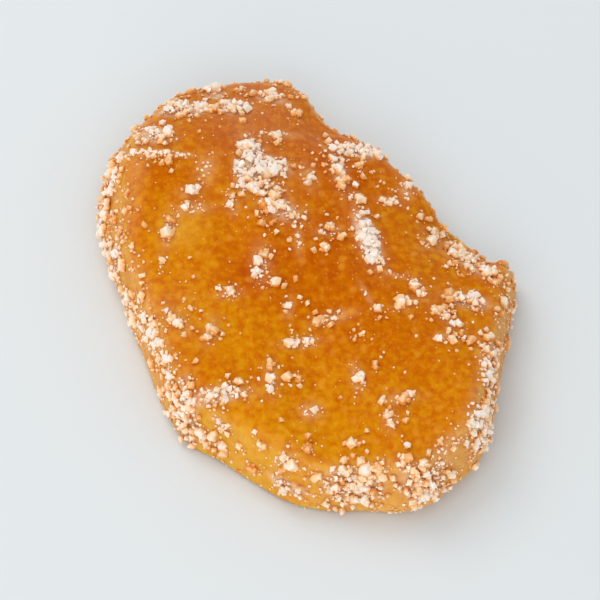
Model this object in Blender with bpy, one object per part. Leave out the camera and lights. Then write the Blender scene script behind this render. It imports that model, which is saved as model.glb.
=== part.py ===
"""A slice of candied ginger: one thick, knife-cut piece of root, domed on top and flat underneath,
with sugar crystals stuck to its top and sides. It lies on its flat underside, on the plane Z = 0.

Run it with: blender --background --python part.py
"""

import math
import random

import bmesh
import bpy
import numpy as np
from mathutils import Matrix, Vector, noise

MM = 0.001

# Driving sizes of the slice, in millimetres
CORE_HEIGHT = 2.6
UNDERSIDE_DEPTH = 3.0
EDGE_ROUND = 0.5

# The knife cuts round the slice: the way each faces in plan, how far it is from the middle, and how
# far it leans in towards the top
SIDE_CUTS = (
    (15.0, 17.1, 10.0),
    (45.0, 13.7, 10.0),
    (78.0, 19.2, 12.0),
    (111.0, 20.5, 10.0),
    (142.0, 18.4, 14.0),
    (176.0, 13.4, 26.0),
    (199.0, 11.6, 12.0),
    (225.0, 12.6, 22.0),
    (239.0, 12.8, 20.0),
    (266.0, 15.6, 14.0),
    (315.0, 18.0, 14.0),
    (335.0, 17.9, 12.0),
    (350.0, 15.2, 12.0),
)

# The faces of the top: the way each slopes down, how steep it is, and how far it is from the middle
TOP_FACES = (
    (255.0, 5.0, 3.3),
    (100.0, 26.0, 9.2),
    (35.0, 12.0, 3.9),
    (205.0, 13.0, 4.9),
)
STRAIGHT_UP = 90.0
FLAT_FACE = (0.0, 0.0, -1.0)

# Corners that dried upwards: their way in plan, where the lift starts, and the lift at the rim
CURLS = (
    (140.0, 7.0, 1.0),
    (325.0, 9.0, 0.9),
    (25.0, 9.0, 0.6),
)
CURL_RIM = 17.0

# Dents of the outline and the top: place in plan, radius, and depth
DENTS = (
    (12.0, 6.6, 2.7, 1.4),
    (14.6, 4.4, 1.5, 0.8),
    (2.3, 16.3, 2.8, 1.1),
    (-5.4, -12.0, 1.7, 0.4),
    (0.8, -2.6, 4.2, 0.35),
)

# Waves of the cut surface, as wavelength and height. They are longer along the root's fibres
WAVES = (
    (9.0, 0.42),
    (4.2, 0.20),
)
FIBRE_WAY = 108.0
FIBRE_STRETCH = 2.2

# The round mesh that takes the slice's form, flattened so that its points are spread evenly
CORE_DETAIL = 4
CORE_FLATNESS = 0.27
SKIN_HALVINGS = 40
SLOPE_STEP = 0.01

# Sugar crystals: how many on the rim, how many groups on the top and how many lie in one, how long
# they are, their sides as shares of the length, and how they sit
SEED = 14
RIM_CRYSTALS = 80
TOP_GROUPS = 26
GROUP_SIZES = (1, 1, 2, 3)
GROUP_REACH = 0.9
CRYSTAL_LENGTHS = (0.52, 0.98)
CRYSTAL_SIDES = (1.0, 0.86, 0.72)
END_SLOPE = 0.16
SUNK_SHARE = 0.22
MOST_TIPPED = 34.0
HALF_DIAGONAL = 0.75
FLOOR_GAP = 0.12
LOWEST_ON_RIM = 0.9
RIM_FACES_UP = (-0.2, 0.82)
TRIES = 14

# Clumps of crystals on the top: place in plan, length, width, and the way of the length
CLUMPS = (
    (-3.5, 10.6, 5.2, 1.9, 100.0),
    (-2.0, 10.4, 2.8, 1.8, 165.0),
    (-2.7, 8.3, 3.2, 1.5, 160.0),
    (-1.4, 6.3, 3.0, 1.8, 150.0),
    (5.1, 4.2, 4.8, 1.5, 107.0),
    (4.2, 12.8, 3.8, 1.2, 175.0),
    (3.0, 10.4, 3.4, 1.1, 100.0),
    (13.1, 2.9, 5.8, 1.5, 138.0),
    (12.6, -1.0, 3.4, 1.4, 170.0),
    (-8.8, 15.8, 4.4, 1.6, 10.0),
    (-11.1, 12.8, 2.8, 1.8, 0.0),
    (-5.1, 16.4, 2.2, 1.8, 0.0),
    (-6.6, 18.2, 1.6, 1.4, 90.0),
    (-2.4, 18.0, 2.8, 1.2, 165.0),
    (-6.2, -9.6, 4.8, 1.2, 3.0),
    (-8.3, -9.8, 4.0, 1.4, 100.0),
)
CLUMP_CRYSTALS_PER_MM2 = 1.4
CLUMP_LIFT = 0.35

# Small clumps between them: place in plan, length, and the way of the length
SMALL_CLUMPS = (
    (-8.3, 7.6, 1.6, 10.0),
    (-9.8, 4.4, 3.0, 78.0),
    (-5.1, 6.7, 1.8, 100.0),
    (-2.9, 1.0, 2.2, 92.0),
    (-5.3, -1.1, 1.8, 5.0),
    (2.2, 4.6, 1.9, 15.0),
    (4.3, 7.6, 1.6, 90.0),
    (6.7, 8.0, 1.6, 0.0),
    (10.0, 5.2, 2.8, 60.0),
    (8.9, -0.4, 2.2, 120.0),
    (7.9, -1.8, 1.8, 25.0),
    (11.0, -2.9, 2.8, 140.0),
    (11.1, -4.7, 1.8, 5.0),
    (2.5, -3.1, 2.8, 15.0),
    (0.1, -5.2, 2.4, 10.0),
    (4.2, -8.3, 2.2, 100.0),
    (7.4, -10.2, 2.2, 5.0),
    (6.6, -11.9, 1.8, 85.0),
    (-2.1, -8.4, 2.6, 92.0),
    (-9.2, -3.1, 2.6, 130.0),
    (-6.6, -4.3, 2.2, 75.0),
    (-9.7, -7.2, 3.0, 100.0),
    (-11.2, -2.8, 2.4, 118.0),
    (-12.7, -0.2, 2.0, 109.0),
    (-13.8, 3.8, 2.4, 110.0),
    (-1.0, -14.6, 2.2, 175.0),
)
SMALL_CLUMP_WIDTH = 0.9

# Clumps on the side wall: the way round from the middle, height, length, and extent down the wall
WALL_CLUMPS = (
    (142.5, 3.0, 2.2, 2.0),
    (149.0, 2.4, 2.6, 2.8),
    (283.5, 3.2, 4.8, 4.0),
    (298.5, 3.4, 3.4, 4.2),
    (317.5, 3.4, 2.6, 3.0),
    (336.0, 4.4, 4.4, 1.4),
    (227.0, 1.9, 1.8, 1.8),
    (240.5, 1.9, 2.0, 1.6),
)

# Spots of the top that are clear of sugar: place in plan, and radius
CLEAR_SPOTS = (
    (2.7, -0.4, 2.6),
    (-10.5, 8.3, 2.2),
    (-5.8, 3.2, 1.8),
    (-4.2, -5.2, 2.0),
    (6.6, -4.6, 2.6),
    (9.4, -8.4, 2.1),
    (3.6, -12.6, 1.8),
    (9.0, -12.4, 1.9),
    (8.0, 3.3, 1.9),
    (-3.2, -12.4, 2.0),
)

GINGER_COLOUR = (0.66, 0.21, 0.012, 1.0)
GINGER_ROUGHNESS = 0.4


def unit(way, climb):
    """The unit vector that faces way degrees round in plan and climb degrees up."""
    way, climb = math.radians(way), math.radians(climb)
    return (
        math.cos(way) * math.cos(climb),
        math.sin(way) * math.cos(climb),
        math.sin(climb),
    )


def cut_planes():
    """(normals, distances) of every flat that bounds the slice, measured from the middle of its core."""
    sides = [(unit(way, lean), distance) for way, distance, lean in SIDE_CUTS]
    tops = [(unit(way, STRAIGHT_UP - slope), distance) for way, slope, distance in TOP_FACES]
    planes = [*sides, *tops, (FLAT_FACE, UNDERSIDE_DEPTH)]
    return np.array([n for n, _ in planes]), np.array([d for _, d in planes])


NORMALS, DISTANCES = cut_planes()


def outside(points):
    """How far each point is outside the slice, with its edges rounded, about the middle of its core."""
    past = (points @ NORMALS.T - DISTANCES) / EDGE_ROUND
    highest = past.max(axis=1, keepdims=True)
    return EDGE_ROUND * (highest[:, 0] + np.log(np.exp(past - highest).sum(axis=1)))


def skin(starts, ways):
    """(points, normals) where lines from these starts inside the slice, each its own way, leave it."""
    near = np.zeros(len(ways))
    far = np.full(len(ways), 2.0 * DISTANCES.max())
    for _ in range(SKIN_HALVINGS):
        middle = (near + far) / 2
        inside = outside(starts + ways * middle[:, None]) < 0
        near = np.where(inside, middle, near)
        far = np.where(inside, far, middle)
    points = starts + ways * near[:, None]
    slopes = [
        outside(points + SLOPE_STEP * axis) - outside(points - SLOPE_STEP * axis)
        for axis in np.eye(3)
    ]
    normals = np.stack(slopes, axis=1)
    return points, normals / np.linalg.norm(normals, axis=1, keepdims=True)


def relief(point):
    """The height of the waves of the cut surface here, less its dents."""
    along = Vector(unit(FIBRE_WAY, 0.0))
    stretched = point - along * point.dot(along) * (1 - 1 / FIBRE_STRETCH)
    waves = sum(
        height * noise.noise(stretched / wavelength)
        for wavelength, height in WAVES
    )
    dents = sum(
        depth * math.exp(-((point.x - x) ** 2 + (point.y - y) ** 2) / radius ** 2)
        for x, y, radius, depth in DENTS
    )
    return waves - dents


def curl(x, y):
    """How far the corners that dried upwards lift the slice here."""
    lift = 0.0
    for way, start, rise in CURLS:
        across = x * math.cos(math.radians(way)) + y * math.sin(math.radians(way))
        share = max(0.0, (across - start) / (CURL_RIM - start))
        lift += rise * share * share
    return lift


def surface(starts, ways):
    """[(place, normal)] on the finished surface, in millimetres above the plane that the slice lies on."""
    found = []
    for point, normal in zip(*skin(starts, ways)):
        point, normal = Vector(point), Vector(normal)
        point += normal * relief(point)
        point.z += CORE_HEIGHT + curl(point.x, point.y)
        found.append((point, normal))
    return found


def ginger_flesh():
    """The slice without its sugar, as a mesh with a flat underside."""
    bm = bmesh.new()
    bmesh.ops.create_icosphere(bm, subdivisions=CORE_DETAIL, radius=1.0)
    ways = np.array([v.co for v in bm.verts])
    ways[:, 2] *= CORE_FLATNESS
    ways /= np.linalg.norm(ways, axis=1, keepdims=True)
    for vert, (place, _) in zip(bm.verts, surface(np.zeros_like(ways), ways)):
        vert.co = place * MM
    geometry = [*bm.verts, *bm.edges, *bm.faces]
    cut = bmesh.ops.bisect_plane(
        bm, geom=geometry, plane_co=(0, 0, 0), plane_no=(0, 0, 1), clear_inner=True
    )
    rim = [e for e in cut["geom_cut"] if isinstance(e, bmesh.types.BMEdge)]
    bmesh.ops.triangle_fill(bm, edges=rim, use_beauty=True, use_dissolve=False)
    bmesh.ops.recalc_face_normals(bm, faces=bm.faces)
    mesh = bpy.data.meshes.new("ginger_slice")
    bm.to_mesh(mesh)
    bm.free()
    return mesh


def crystal_block():
    """One sugar crystal of unit length: a block with one sloping end, as sugar grows."""
    bm = bmesh.new()
    bmesh.ops.create_cube(bm, size=1.0)
    for vert in bm.verts:
        vert.co = Vector(a * b for a, b in zip(vert.co, CRYSTAL_SIDES))
        if vert.co.x > 0:
            vert.co.x -= END_SLOPE * (vert.co.z / CRYSTAL_SIDES[2] + 0.5)
    mesh = bpy.data.meshes.new("sugar_crystal")
    bm.to_mesh(mesh)
    bm.free()
    return mesh


def random_way(draw):
    """A random unit direction, spread as the core's own points are."""
    z = draw.uniform(-1, 1)
    turn = draw.uniform(0, math.tau)
    flat = math.sqrt(1 - z * z)
    way = Vector((flat * math.cos(turn), flat * math.sin(turn), z * CORE_FLATNESS))
    return way.normalized()


def any_place(draw):
    """(place, normal) anywhere on the surface."""
    return surface(np.zeros((1, 3)), np.array([random_way(draw)]))[0]


def top_at(x, y):
    """(place, normal) on the surface straight above this place in plan."""
    return surface(np.array([[x, y, 0.0]]), np.array([[0.0, 0.0, 1.0]]))[0]


def wall_at(way, height):
    """(place, normal) on the side wall, this way round from the middle and about this high."""
    return surface(np.array([[0.0, 0.0, height - CORE_HEIGHT]]), np.array([unit(way, 0.0)]))[0]


def crystal_lengths(draw, count):
    """The lengths of this many crystals, the largest first."""
    return sorted((draw.uniform(*CRYSTAL_LENGTHS) for _ in range(count)), reverse=True)


def crystal(place, normal, length, draw, lift=0.0):
    """A crystal's matrix: it stands on the surface here, turned at random, with its foot sunk in."""
    tipped = math.radians(MOST_TIPPED)
    turn = Matrix.Rotation(draw.uniform(0, math.tau), 3, "Z")
    tip = Matrix.Rotation(draw.uniform(-tipped, tipped), 3, "X")
    roll = Matrix.Rotation(draw.uniform(-tipped, tipped), 3, "Y")
    stand = normal.to_track_quat("Z", "Y").to_matrix() @ turn @ tip @ roll
    centre = place + normal * length * (CRYSTAL_SIDES[2] / 2 - SUNK_SHARE + lift)
    centre.z = max(centre.z, FLOOR_GAP + length * HALF_DIAGONAL)
    return Matrix.LocRotScale(centre * MM, stand.to_quaternion(), Vector((length * MM,) * 3))


def spread_places(draw, count, wanted):
    """[(place, normal)] spread evenly over the places where wanted(place, normal) holds: each is the
    roomiest of a few."""
    found = []
    for _ in range(count):
        tries = [spot for spot in (any_place(draw) for _ in range(TRIES)) if wanted(*spot)]
        if tries:
            found.append(max(tries, key=lambda spot: room_at(spot[0], found)))
    return found


def room_at(place, found):
    """How far the nearest place of those found is."""
    return min(((place - other).length for other, _ in found), default=math.inf)


def on_rim(place, normal):
    """Whether this place is on the side walls or their upper edge, clear of the plane beneath."""
    return place.z > LOWEST_ON_RIM and RIM_FACES_UP[0] < normal.z < RIM_FACES_UP[1]


def on_top(place, normal):
    """Whether this place is on the top face, off its clear spots."""
    off_spots = all(
        math.hypot(place.x - x, place.y - y) > radius
        for x, y, radius in CLEAR_SPOTS
    )
    return normal.z > RIM_FACES_UP[1] and off_spots


def rim_crystals(draw):
    """Crystals spread evenly over the rim, one to a place, the largest first."""
    places = spread_places(draw, RIM_CRYSTALS, on_rim)
    lengths = crystal_lengths(draw, len(places))
    return [crystal(*spot, length, draw) for spot, length in zip(places, lengths)]


def top_crystals(draw):
    """Crystals that lie one to three together, the groups spread evenly over the top."""
    crystals = []
    for place, _ in spread_places(draw, TOP_GROUPS, on_top):
        for length in crystal_lengths(draw, draw.choice(GROUP_SIZES)):
            x = place.x + draw.uniform(-GROUP_REACH, GROUP_REACH)
            y = place.y + draw.uniform(-GROUP_REACH, GROUP_REACH)
            crystals.append(crystal(*top_at(x, y), length, draw))
    return crystals


def scatter(draw, length, width):
    """[(size, along, across, lift)] for the crystals of a clump of this length and width."""
    found = []
    for size in crystal_lengths(draw, round(length * width * math.pi / 4 * CLUMP_CRYSTALS_PER_MM2)):
        reach = math.sqrt(draw.random())
        angle = draw.uniform(0, math.tau)
        along = reach * math.cos(angle) * length / 2
        across = reach * math.sin(angle) * width / 2
        found.append((size, along, across, draw.uniform(0.0, CLUMP_LIFT) * (1 - reach)))
    return found


def top_clump_crystals(draw):
    """The crystals of every clump on the top, which lie on it and partly on each other."""
    crystals = []
    small = [(x, y, length, SMALL_CLUMP_WIDTH, way) for x, y, length, way in SMALL_CLUMPS]
    for x, y, length, width, way in (*CLUMPS, *small):
        turn = Matrix.Rotation(math.radians(way), 2)
        for size, along, across, lift in scatter(draw, length, width):
            off = turn @ Vector((along, across))
            crystals.append(crystal(*top_at(x + off.x, y + off.y), size, draw, lift))
    return crystals


def wall_clump_crystals(draw):
    """The crystals of every clump on the side wall."""
    crystals = []
    for way, height, length, drop in WALL_CLUMPS:
        middle, _ = wall_at(way, height)
        for size, along, rise, lift in scatter(draw, length, drop):
            turned = way + math.degrees(along / middle.xy.length)
            crystals.append(crystal(*wall_at(turned, height + rise), size, draw, lift))
    return crystals


def sugar_collection(matrices):
    """A collection with one object for each crystal, all sharing one mesh."""
    collection = bpy.data.collections.new("sugar")
    bpy.context.scene.collection.children.link(collection)
    mesh = crystal_block()
    for matrix in matrices:
        grain = bpy.data.objects.new("crystal", mesh)
        grain.matrix_world = matrix
        collection.objects.link(grain)
    return collection


def fuse(obj, collection):
    """Joins the collection's objects to obj as one solid, and removes them."""
    union = obj.modifiers.new("sugar", "BOOLEAN")
    union.operation = "UNION"
    union.operand_type = "COLLECTION"
    union.collection = collection
    union.solver = "MANIFOLD"
    graph = bpy.context.evaluated_depsgraph_get()
    joined = bpy.data.meshes.new_from_object(obj.evaluated_get(graph))
    obj.modifiers.clear()
    obj.data = joined
    for grain in list(collection.objects):
        bpy.data.objects.remove(grain)
    bpy.data.collections.remove(collection)


def body_of(vert, unseen):
    """The vertices joined to this one by edges. They are taken out of unseen."""
    queue, body = [vert], {vert}
    unseen.discard(vert)
    while queue:
        for edge in queue.pop().link_edges:
            new = unseen.intersection(edge.verts)
            unseen -= new
            body |= new
            queue.extend(new)
    return body


def keep_outer_body(mesh):
    """Drops loose scraps and fills sealed hollows: only the largest connected body stays."""
    bm = bmesh.new()
    bm.from_mesh(mesh)
    unseen, bodies = set(bm.verts), []
    while unseen:
        bodies.append(body_of(next(iter(unseen)), unseen))
    outer = max(bodies, key=len)
    scraps = [v for v in bm.verts if v not in outer]
    bmesh.ops.delete(bm, geom=scraps, context="VERTS")
    bm.to_mesh(mesh)
    bm.free()


def ginger_material():
    """Amber candied flesh."""
    material = bpy.data.materials.new("candied_ginger")
    material.use_nodes = True
    shader = material.node_tree.nodes["Principled BSDF"]
    shader.inputs["Base Color"].default_value = GINGER_COLOUR
    shader.inputs["Roughness"].default_value = GINGER_ROUGHNESS
    shader.inputs["Metallic"].default_value = 0.0
    return material


def main():
    """Builds the slice and fuses its sugar on."""
    for obj in list(bpy.data.objects):
        bpy.data.objects.remove(obj)
    draw = random.Random(SEED)
    ginger = bpy.data.objects.new("ginger_slice", ginger_flesh())
    bpy.context.scene.collection.objects.link(ginger)
    crystals = top_clump_crystals(draw)
    crystals += wall_clump_crystals(draw)
    crystals += rim_crystals(draw)
    crystals += top_crystals(draw)
    fuse(ginger, sugar_collection(crystals))
    keep_outer_body(ginger.data)
    ginger.data.materials.clear()
    ginger.data.materials.append(ginger_material())


main()
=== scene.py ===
"""A slice of candied ginger under its coat of sugar.

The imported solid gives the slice's place, size and form. Its flesh is made here again as a finer mesh,
from the same knife cuts and faces, and its sugar as three pieces of scattered grains: the crystals
that the solid has too, a finer grit between them, and the dust that frosts the rim.
"""

import logging
import math
import random
from collections.abc import Callable, Sequence
from dataclasses import dataclass, field, replace
from enum import Enum
from functools import cached_property

import bmesh
import bpy
import numpy as np
from mathutils import Matrix, Vector, noise
from mathutils.kdtree import KDTree


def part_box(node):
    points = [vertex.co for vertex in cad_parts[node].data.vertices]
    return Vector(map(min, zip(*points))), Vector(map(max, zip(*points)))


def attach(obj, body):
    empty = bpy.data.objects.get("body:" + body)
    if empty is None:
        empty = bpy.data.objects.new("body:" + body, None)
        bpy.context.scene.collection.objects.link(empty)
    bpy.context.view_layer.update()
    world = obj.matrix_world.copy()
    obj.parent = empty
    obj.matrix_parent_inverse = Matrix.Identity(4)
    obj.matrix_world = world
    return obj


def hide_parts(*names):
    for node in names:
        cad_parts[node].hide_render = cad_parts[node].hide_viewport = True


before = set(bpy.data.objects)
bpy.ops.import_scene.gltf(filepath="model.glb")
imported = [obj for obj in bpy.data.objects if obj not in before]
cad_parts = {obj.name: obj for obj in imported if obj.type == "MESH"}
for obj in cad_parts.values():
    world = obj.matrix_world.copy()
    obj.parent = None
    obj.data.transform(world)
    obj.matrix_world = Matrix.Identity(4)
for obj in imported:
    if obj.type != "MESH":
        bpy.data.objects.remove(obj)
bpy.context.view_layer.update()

MM = 0.001
NODE = "ginger_slice"
BODY = "root"
log = logging.getLogger("candied_ginger")


def heading(way: float, climb: float = 0.0) -> tuple[float, float, float]:
    """The unit vector of a way round in plan and a climb.

    Args:
        way: Degrees round from +X.
        climb: Degrees up from the level.

    Returns:
        Its x, y and z.
    """
    way, climb = math.radians(way), math.radians(climb)
    return math.cos(way) * math.cos(climb), math.sin(way) * math.cos(climb), math.sin(climb)


def noise_at(points: np.ndarray) -> np.ndarray:
    """Smooth noise at each point, about -1 to 1."""
    return np.array([noise.noise(Vector(point)) for point in points])


def smooth_step(low: float, high: float, values: np.ndarray) -> np.ndarray:
    """0 below low, 1 above high, and an eased rise between them. It falls where high is the lower."""
    share = np.clip((values - low) / (high - low), 0.0, 1.0)
    return share * share * (3.0 - 2.0 * share)


def paint(red: int, green: int, blue: int) -> tuple[float, float, float, float]:
    """A screen colour, 0 to 255 each, as the linear colour that a shader takes.

    Args:
        red: Its red.
        green: Its green.
        blue: Its blue.

    Returns:
        The linear red, green and blue, and a full alpha.
    """
    linear = [
        share / 12.92 if share <= 0.04045 else ((share + 0.055) / 1.055) ** 2.4
        for share in (red / 255, green / 255, blue / 255)
    ]
    return *linear, 1.0


def add_object(name: str, data: bpy.types.ID) -> bpy.types.Object:
    """Makes an object of its data and links it to the scene.

    Args:
        name: Its name.
        data: Its mesh, light or camera.

    Returns:
        The object.
    """
    made = bpy.data.objects.new(name, data)
    bpy.context.scene.collection.objects.link(made)
    return made


def take_mesh(bm: bmesh.types.BMesh, name: str) -> bpy.types.Mesh:
    """Makes a mesh of a bmesh and frees the bmesh.

    Args:
        bm: The bmesh.
        name: The mesh's name.

    Returns:
        The mesh.
    """
    mesh = bpy.data.meshes.new(name)
    bm.to_mesh(mesh)
    bm.free()
    return mesh


def store(mesh: bpy.types.Mesh, name: str, shares: np.ndarray) -> None:
    """Keeps a share for each vertex on the mesh, held between 0 and 1."""
    held = np.clip(shares, 0.0, 1.0).astype(np.float32)
    mesh.attributes.new(name, "FLOAT", "POINT").data.foreach_set("value", held)


def set_plain(node: bpy.types.Node, values: dict[str, object]) -> None:
    """Gives inputs of a node plain values, by name."""
    for name, value in values.items():
        node.inputs[name].default_value = value


@dataclass(frozen=True)
class Mound:
    """A clump of sugar on the top, in millimetres, the way of its length in degrees, how thick the
    sugar lies there, and how white it is: 0 shows the flesh's colour, painted in as its glow
    through the clear sugar, and 1 or more is white."""

    x: float
    y: float
    length: float
    width: float
    way: float
    amount: float = 1.0
    white: float = 0.45

    def nearness(self, points: np.ndarray) -> np.ndarray:
        """The amount over the mound's middle, falling to about a third of it at its edge.

        Args:
            points: The points, one to a row.

        Returns:
            The nearness of each.
        """
        along, across = heading(self.way)[:2], heading(self.way + 90)[:2]
        flat = points[:, :2] - (self.x, self.y)
        u = flat @ np.array(along) / (self.length / 2)
        v = flat @ np.array(across) / (self.width / 2)
        return self.amount * np.exp(-(u * u + v * v))


@dataclass(frozen=True)
class WallMound:
    """A clump of sugar on the side wall: the way round to its middle in degrees, its height, length and
    extent down the wall in millimetres, and how white it is."""

    way: float
    height: float
    length: float
    drop: float
    white: float = 0.45

    def nearness(self, points: np.ndarray) -> np.ndarray:
        """1 over the mound's middle, falling to about a third at its edge.

        Args:
            points: The points, one to a row.

        Returns:
            The nearness of each.
        """
        ways = np.degrees(np.arctan2(points[:, 1], points[:, 0]))
        turned = (ways - self.way + 180.0) % 360.0 - 180.0
        u = np.radians(turned) * np.hypot(points[:, 0], points[:, 1]) / (self.length / 2)
        v = (points[:, 2] - self.height) / (self.drop / 2)
        return np.exp(-(u * u + v * v))


@dataclass(frozen=True)
class Zone:
    """A round zone of the surface, in millimetres in plan, and how much it adds there."""

    x: float
    y: float
    radius: float
    amount: float = 1.0

    def share(self, points: np.ndarray) -> np.ndarray:
        """What the zone adds at each point."""
        away = (points[:, 0] - self.x) ** 2 + (points[:, 1] - self.y) ** 2
        return self.amount * np.exp(-away / self.radius**2)


def nearness_to(mounds: Sequence[Mound | WallMound], places: np.ndarray) -> np.ndarray:
    """How near the nearest of these mounds each place is."""
    return np.max([mound.nearness(places) for mound in mounds], axis=0)


def whiteness_in(mounds: Sequence[Mound | WallMound], places: np.ndarray) -> np.ndarray:
    """How white the whitest of these mounds makes the sugar at each place."""
    return np.max([mound.white * mound.nearness(places) for mound in mounds], axis=0)


CLUMPS = (
    Mound(-3.5, 10.6, 5.2, 1.9, 100.0, white=1.15),
    Mound(-2.0, 10.4, 2.8, 1.8, 165.0, white=1.0),
    Mound(-2.7, 8.3, 3.2, 1.5, 160.0),
    Mound(-1.4, 6.3, 3.0, 1.8, 150.0),
    Mound(5.1, 4.2, 4.8, 1.5, 107.0, amount=1.3, white=1.6),
    Mound(4.2, 12.8, 3.8, 1.2, 175.0, amount=1.2, white=1.1),
    Mound(3.0, 10.4, 3.4, 1.1, 100.0),
    Mound(13.1, 2.9, 5.8, 1.5, 138.0),
    Mound(12.6, -1.0, 3.4, 1.4, 170.0),
    Mound(-8.8, 15.8, 4.4, 1.6, 10.0, white=1.0),
    Mound(-11.1, 12.8, 2.8, 1.8, 0.0, white=0.9),
    Mound(-5.1, 16.4, 2.2, 1.8, 0.0, white=1.0),
    Mound(-6.6, 18.2, 1.6, 1.4, 90.0, white=1.0),
    Mound(-2.4, 18.0, 2.8, 1.2, 165.0),
    Mound(-6.2, -9.6, 4.8, 1.2, 3.0, white=0.65),
    Mound(-8.3, -9.8, 4.0, 1.4, 100.0, white=0.6),
)
WALL_CLUMPS = (
    WallMound(142.5, 3.0, 2.2, 2.0, white=1.1),
    WallMound(149.0, 2.4, 2.6, 2.8, white=1.1),
    WallMound(283.5, 3.2, 4.8, 4.0, white=0.3),
    WallMound(298.5, 3.4, 3.4, 4.2, white=0.45),
    # The clump at 317.5 degrees is white sugar, set whiter still as painted light on a side that the lamps
    # leave in shade
    WallMound(317.5, 3.4, 2.6, 3.0, white=1.1),
    WallMound(336.0, 4.4, 4.4, 1.4),
    WallMound(227.0, 1.9, 1.8, 1.8),
    WallMound(240.5, 1.9, 2.0, 1.6),
)
SMALL_CLUMP_WIDTH = 0.9
SMALL_CLUMPS = tuple(
    Mound(x, y, length, SMALL_CLUMP_WIDTH, way)
    for x, y, length, way in (
        (-8.3, 7.6, 1.6, 10.0), (-9.8, 4.4, 3.0, 78.0), (-5.1, 6.7, 1.8, 100.0),
        (-2.9, 1.0, 2.2, 92.0), (-5.3, -1.1, 1.8, 5.0), (2.2, 4.6, 1.9, 15.0),
        (4.3, 7.6, 1.6, 90.0), (6.7, 8.0, 1.6, 0.0), (10.0, 5.2, 2.8, 60.0),
        (8.9, -0.4, 2.2, 120.0), (7.9, -1.8, 1.8, 25.0), (11.0, -2.9, 2.8, 140.0),
        (11.1, -4.7, 1.8, 5.0), (2.5, -3.1, 2.8, 15.0), (0.1, -5.2, 2.4, 10.0),
        (4.2, -8.3, 2.2, 100.0), (7.4, -10.2, 2.2, 5.0), (6.6, -11.9, 1.8, 85.0),
        (-2.1, -8.4, 2.6, 92.0), (-9.2, -3.1, 2.6, 130.0), (-6.6, -4.3, 2.2, 75.0),
        (-9.7, -7.2, 3.0, 100.0), (-11.2, -2.8, 2.4, 118.0), (-12.7, -0.2, 2.0, 109.0),
        (-13.8, 3.8, 2.4, 110.0), (-1.0, -14.6, 2.2, 175.0),
    )
)
# Where the top is bare between the clumps: each spot's middle and radius
CLEAR_SPOTS = tuple(
    Zone(*spot)
    for spot in (
        (2.7, -0.4, 2.6), (-10.5, 8.3, 2.2), (-5.8, 3.2, 1.8), (-4.2, -5.2, 2.0), (6.6, -4.6, 2.6),
        (9.4, -8.4, 2.1), (3.6, -12.6, 1.8), (9.0, -12.4, 1.9), (8.0, 3.3, 1.9), (-3.2, -12.4, 2.0),
    )
)


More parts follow.
